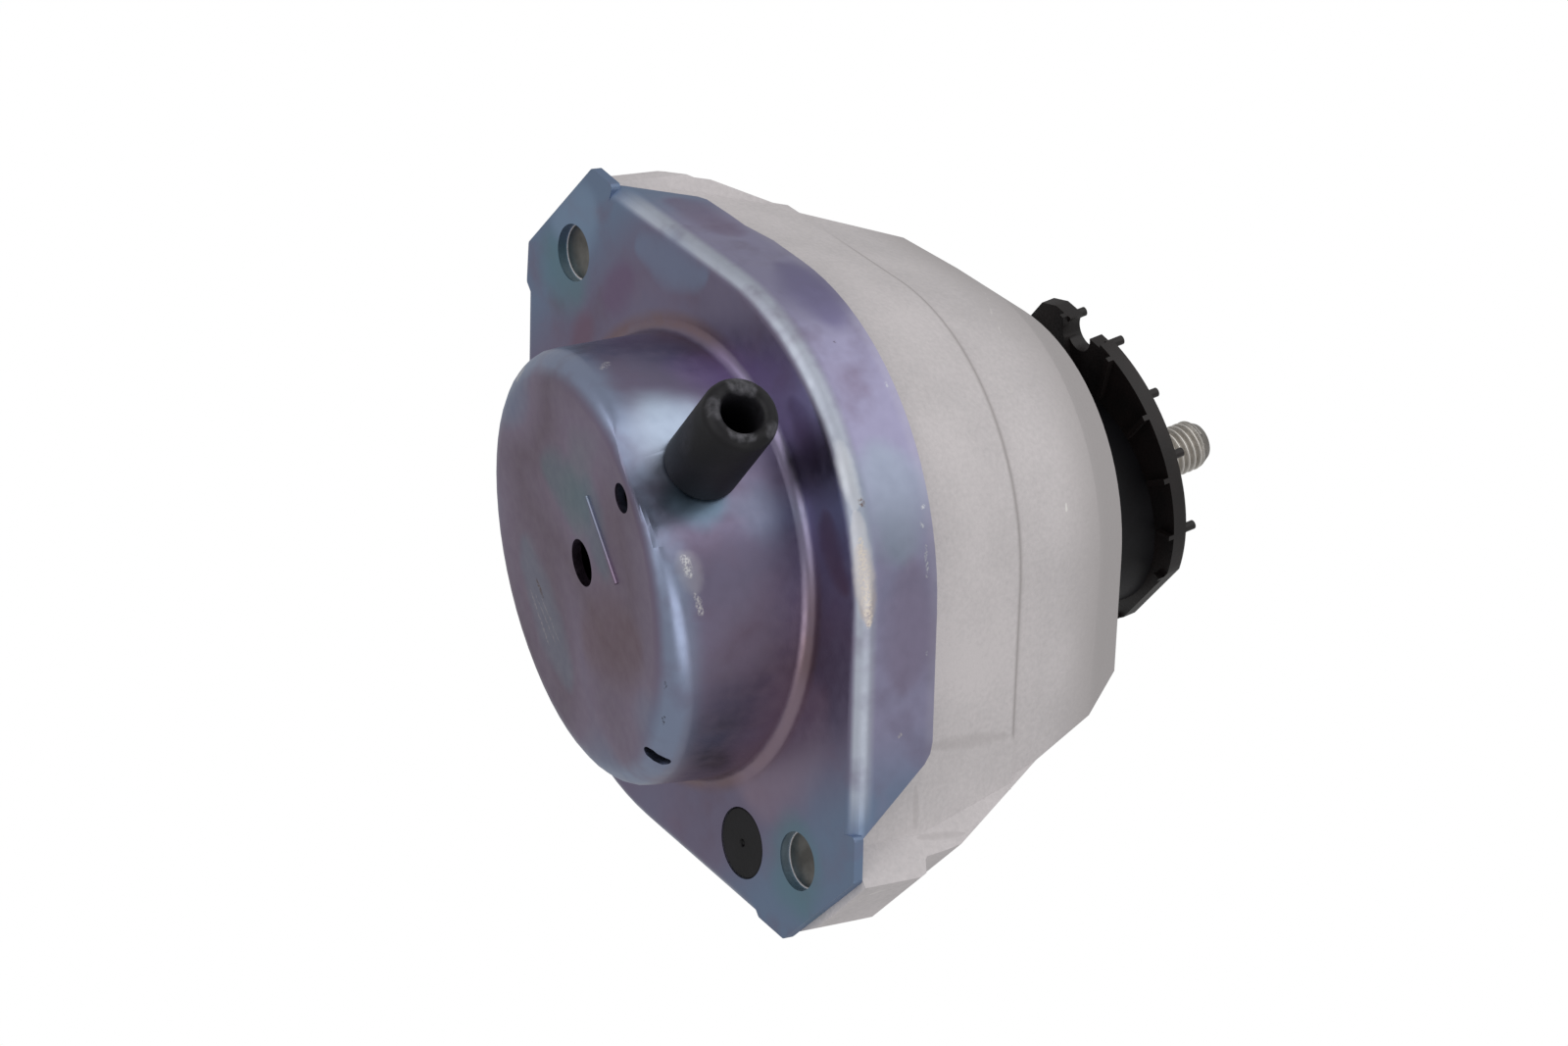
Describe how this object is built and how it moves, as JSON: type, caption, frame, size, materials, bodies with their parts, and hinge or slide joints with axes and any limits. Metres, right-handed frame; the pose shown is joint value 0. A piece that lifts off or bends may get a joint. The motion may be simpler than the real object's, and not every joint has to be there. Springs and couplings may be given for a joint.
{
  "type": "engine mount",
  "caption": "Hydraulic engine mount with a cast body, a stamped base plate with a vacuum cup and hose socket, and a leaning threaded stud.",
  "frame": {"origin": "midway between the two bolt holes, on the plate's bearing face on the cup side", "axes": "+Z along the mount's axis from the base plate toward the stud; +Y through the bolt holes, toward the ear without the plug; the hose socket points toward -X"},
  "size_m": [0.1209, 0.1506, 0.1569],
  "materials": {
    "zinc_sheet": "iridescent zinc plate on stamped sheet",
    "cast_aluminium": "matt die cast",
    "plain_steel": "plain",
    "zinc_stud": "zinc plated thread",
    "black_rubber": "matt moulded",
    "moulded_black": "matt moulded"
  },
  "bodies": {
    "root": {"base_plate": "zinc_sheet", "housing": "cast_aluminium", "ear_pins": "plain_steel", "locating_plug": "black_rubber", "hose_socket": "black_rubber", "air_chamber": "moulded_black", "return_spring": "plain_steel", "plunger": "plain_steel", "switching_membrane": "black_rubber", "membrane_ring": "plain_steel", "rolling_diaphragm": "black_rubber", "channel_lower": "cast_aluminium", "decoupler": "black_rubber", "channel_upper": "cast_aluminium", "seal_ring": "black_rubber", "outer_ring": "plain_steel", "main_spring": "black_rubber", "core": "cast_aluminium", "stud": "zinc_stud", "stop_cap": "moulded_black"}
  },
  "joints": []
}
